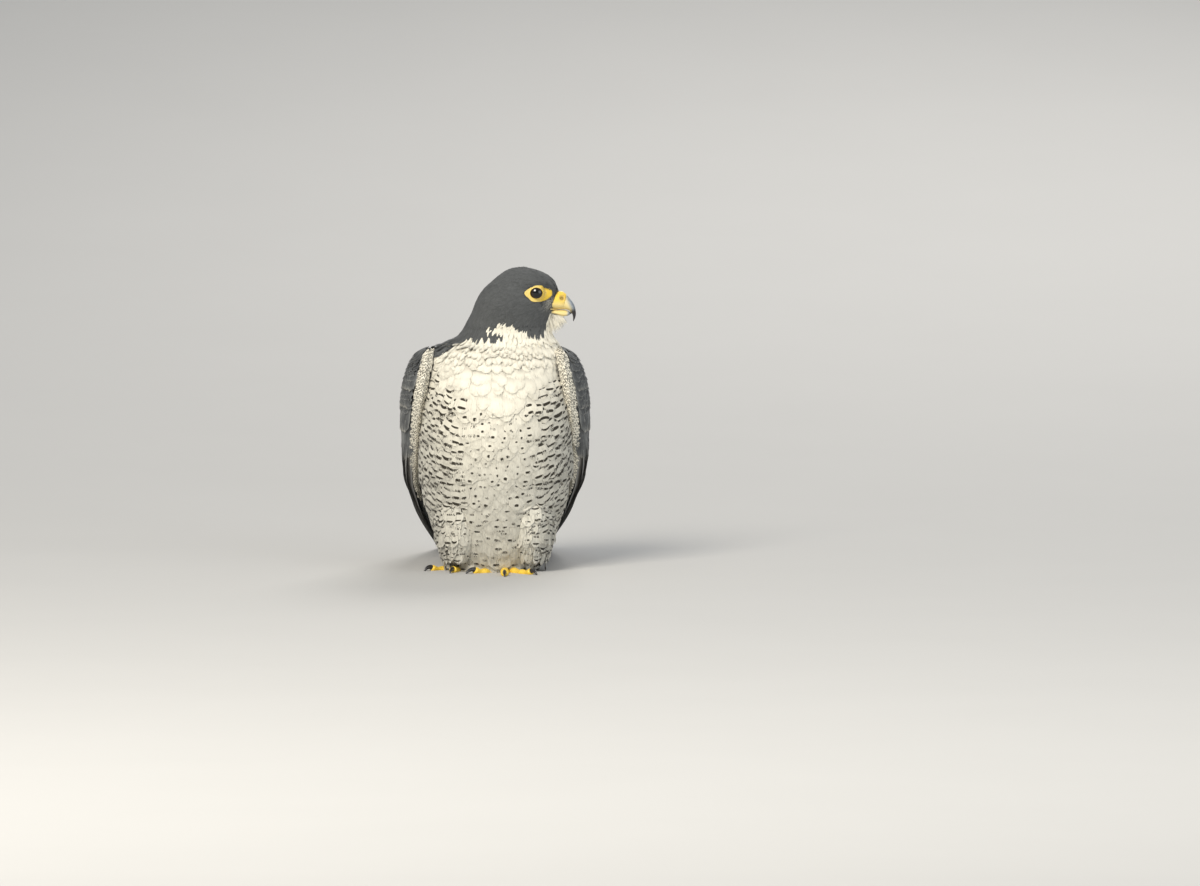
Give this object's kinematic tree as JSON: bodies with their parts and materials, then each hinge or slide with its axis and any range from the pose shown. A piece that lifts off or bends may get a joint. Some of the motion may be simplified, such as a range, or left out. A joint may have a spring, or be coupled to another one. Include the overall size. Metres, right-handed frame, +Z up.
{
  "type": "peregrine falcon",
  "caption": "Still life-size peregrine falcon, standing upright with folded wings and its head turned to its left.",
  "frame": {"origin": "middle of the bounding box at floor level", "axes": "+Z up, -Y the way the breast faces, +X the bird's left, where its bill points"},
  "size_m": [0.169, 0.3299, 0.2763],
  "materials": {
    "breast_plumage": "soft cream feathers with dark bars and spots",
    "hood_plumage": "short dark slate feathers",
    "wing_plumage": "slate grey feathers with paler edges and darker bars",
    "tail_plumage": "grey feathers with dark bands and a pale tip",
    "yellow_skin": "yellow scaly skin with a waxy sheen",
    "bill_horn": "blue-grey horn, yellow at the base and dark at the tip",
    "claw_horn": "black polished horn",
    "eye": "wet near-black brown"
  },
  "bodies": {
    "root": {"trunk": "breast_plumage", "neck": "hood_plumage", "head": "hood_plumage", "wing_left": "wing_plumage", "wing_right": "wing_plumage", "tail": "tail_plumage", "thigh_left": "breast_plumage", "thigh_right": "breast_plumage", "foot_left": "yellow_skin", "foot_right": "yellow_skin", "claw_left_middle": "claw_horn", "claw_left_outer": "claw_horn", "claw_left_inner": "claw_horn", "claw_left_back": "claw_horn", "claw_right_middle": "claw_horn", "claw_right_outer": "claw_horn", "claw_right_inner": "claw_horn", "claw_right_back": "claw_horn", "cere": "yellow_skin", "bill_upper": "bill_horn", "bill_lower": "bill_horn", "eye_left": "eye", "eye_right": "eye"}
  },
  "joints": []
}
